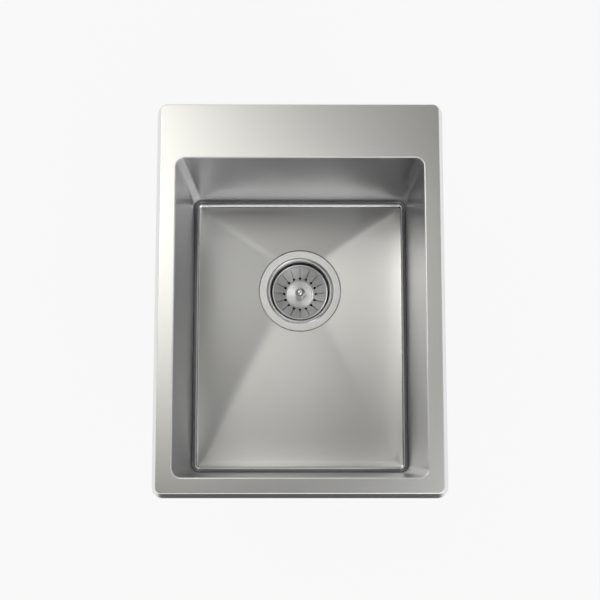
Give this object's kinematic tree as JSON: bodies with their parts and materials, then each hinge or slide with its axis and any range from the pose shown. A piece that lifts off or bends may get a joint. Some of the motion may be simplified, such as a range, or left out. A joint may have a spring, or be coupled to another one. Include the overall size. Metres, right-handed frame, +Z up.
{
  "type": "laundry sink",
  "caption": "Drop-in stainless laundry sink: deep creased bowl, wide back ledge, lift-out strainer basket, threaded waste outlet and screw clips under the rim.",
  "frame": {"origin": "middle of the rim's outline at the level of the bench top, on the rim seal's underside", "axes": "+Z up out of the bowl, +Y towards the wide back ledge, +X to the right"},
  "size_m": [0.346, 0.473, 0.3546],
  "materials": {
    "deck_steel": "fine brushed",
    "bowl_steel": "satin",
    "waste_steel": "satin",
    "basket_steel": "turned",
    "knob_steel": "polished",
    "fastener_steel": "plain",
    "rail_steel": "mill",
    "clip_zinc": "zinc plated",
    "insert_brass": "plain",
    "seal_rubber": "matte",
    "seal_foam": "closed-cell foam",
    "pad_bitumen": "matte",
    "waste_plastic": "moulded"
  },
  "bodies": {
    "sink": {"deck": "deck_steel", "bowl": "bowl_steel", "rim_seal": "seal_foam", "left_pad": "pad_bitumen", "right_pad": "pad_bitumen", "front_pad": "pad_bitumen", "back_pad": "pad_bitumen", "floor_pad": "pad_bitumen", "waste_flange": "waste_steel", "flange_seal": "seal_rubber", "floor_seal": "seal_rubber", "waste_body": "waste_plastic", "clamp_insert": "insert_brass", "clamp_screw": "fastener_steel", "left_rail": "rail_steel", "right_rail": "rail_steel", "front_rail": "rail_steel", "back_rail": "rail_steel"},
    "plug": {"stem": "fastener_steel", "plug_seal": "seal_rubber", "seal_plate": "waste_steel", "lock_nut": "fastener_steel", "knob": "knob_steel"},
    "basket": {"basket": "basket_steel"},
    "left_front_clip": {"left_front_strap": "clip_zinc"},
    "left_front_clamp": {"left_front_foot": "clip_zinc"},
    "left_front_screw": {"left_front_clip_screw": "clip_zinc"},
    "left_back_clip": {"left_back_strap": "clip_zinc"},
    "left_back_clamp": {"left_back_foot": "clip_zinc"},
    "left_back_screw": {"left_back_clip_screw": "clip_zinc"},
    "right_front_clip": {"right_front_strap": "clip_zinc"},
    "right_front_clamp": {"right_front_foot": "clip_zinc"},
    "right_front_screw": {"right_front_clip_screw": "clip_zinc"},
    "right_back_clip": {"right_back_strap": "clip_zinc"},
    "right_back_clamp": {"right_back_foot": "clip_zinc"},
    "right_back_screw": {"right_back_clip_screw": "clip_zinc"},
    "front_clip": {"front_strap": "clip_zinc"},
    "front_clamp": {"front_foot": "clip_zinc"},
    "front_screw": {"front_clip_screw": "clip_zinc"},
    "back_clip": {"back_strap": "clip_zinc"},
    "back_clamp": {"back_foot": "clip_zinc"},
    "back_screw": {"back_clip_screw": "clip_zinc"}
  },
  "joints": [
    {"name": "strainer_lift", "type": "slide", "parent": "sink", "child": "plug", "axis": [0, 0, 1], "range_m": [0, 0.33]},
    {"name": "basket_turn", "type": "hinge", "parent": "plug", "child": "basket", "pos_m": [0, 0.04, -0.27041], "axis": [0, 0, 1], "continuous": true},
    {"name": "left_front_clip_shift", "type": "slide", "parent": "sink", "child": "left_front_clip", "axis": [0, 1, 0], "range_m": [-0.05, 0.05]},
    {"name": "left_front_foot_rise", "type": "slide", "parent": "left_front_clip", "child": "left_front_clamp", "axis": [0, 0, 1], "range_m": [0, 0.016]},
    {"name": "left_front_screw_turn", "type": "hinge", "parent": "left_front_clamp", "child": "left_front_screw", "pos_m": [-0.1635, -0.1, -0.0612], "axis": [0, 0, 1], "range_deg": [0, 5796]},
    {"name": "left_back_clip_shift", "type": "slide", "parent": "sink", "child": "left_back_clip", "axis": [0, 1, 0], "range_m": [-0.05, 0.05]},
    {"name": "left_back_foot_rise", "type": "slide", "parent": "left_back_clip", "child": "left_back_clamp", "axis": [0, 0, 1], "range_m": [0, 0.016]},
    {"name": "left_back_screw_turn", "type": "hinge", "parent": "left_back_clamp", "child": "left_back_screw", "pos_m": [-0.1635, 0.1, -0.0612], "axis": [0, 0, 1], "range_deg": [0, 5796]},
    {"name": "right_front_clip_shift", "type": "slide", "parent": "sink", "child": "right_front_clip", "axis": [0, 1, 0], "range_m": [-0.05, 0.05]},
    {"name": "right_front_foot_rise", "type": "slide", "parent": "right_front_clip", "child": "right_front_clamp", "axis": [0, 0, 1], "range_m": [0, 0.016]},
    {"name": "right_front_screw_turn", "type": "hinge", "parent": "right_front_clamp", "child": "right_front_screw", "pos_m": [0.1635, -0.1, -0.0612], "axis": [0, 0, 1], "range_deg": [0, 5796]},
    {"name": "right_back_clip_shift", "type": "slide", "parent": "sink", "child": "right_back_clip", "axis": [0, 1, 0], "range_m": [-0.05, 0.05]},
    {"name": "right_back_foot_rise", "type": "slide", "parent": "right_back_clip", "child": "right_back_clamp", "axis": [0, 0, 1], "range_m": [0, 0.016]},
    {"name": "right_back_screw_turn", "type": "hinge", "parent": "right_back_clamp", "child": "right_back_screw", "pos_m": [0.1635, 0.1, -0.0612], "axis": [0, 0, 1], "range_deg": [0, 5796]},
    {"name": "front_clip_shift", "type": "slide", "parent": "sink", "child": "front_clip", "axis": [1, 0, 0], "range_m": [-0.07, 0.07]},
    {"name": "front_foot_rise", "type": "slide", "parent": "front_clip", "child": "front_clamp", "axis": [0, 0, 1], "range_m": [0, 0.016]},
    {"name": "front_screw_turn", "type": "hinge", "parent": "front_clamp", "child": "front_screw", "pos_m": [0, -0.2275, -0.0612], "axis": [0, 0, 1], "range_deg": [0, 5796]},
    {"name": "back_clip_shift", "type": "slide", "parent": "sink", "child": "back_clip", "axis": [1, 0, 0], "range_m": [-0.07, 0.07]},
    {"name": "back_foot_rise", "type": "slide", "parent": "back_clip", "child": "back_clamp", "axis": [0, 0, 1], "range_m": [0, 0.016]},
    {"name": "back_screw_turn", "type": "hinge", "parent": "back_clamp", "child": "back_screw", "pos_m": [0, 0.227, -0.0612], "axis": [0, 0, 1], "range_deg": [0, 5796]}
  ],
  "couplings": [
    {"joint": "left_front_screw_turn", "follows": "left_front_foot_rise", "rad_per_m": 6283.2},
    {"joint": "left_back_screw_turn", "follows": "left_back_foot_rise", "rad_per_m": 6283.2},
    {"joint": "right_front_screw_turn", "follows": "right_front_foot_rise", "rad_per_m": 6283.2},
    {"joint": "right_back_screw_turn", "follows": "right_back_foot_rise", "rad_per_m": 6283.2},
    {"joint": "front_screw_turn", "follows": "front_foot_rise", "rad_per_m": 6283.2},
    {"joint": "back_screw_turn", "follows": "back_foot_rise", "rad_per_m": 6283.2}
  ]
}
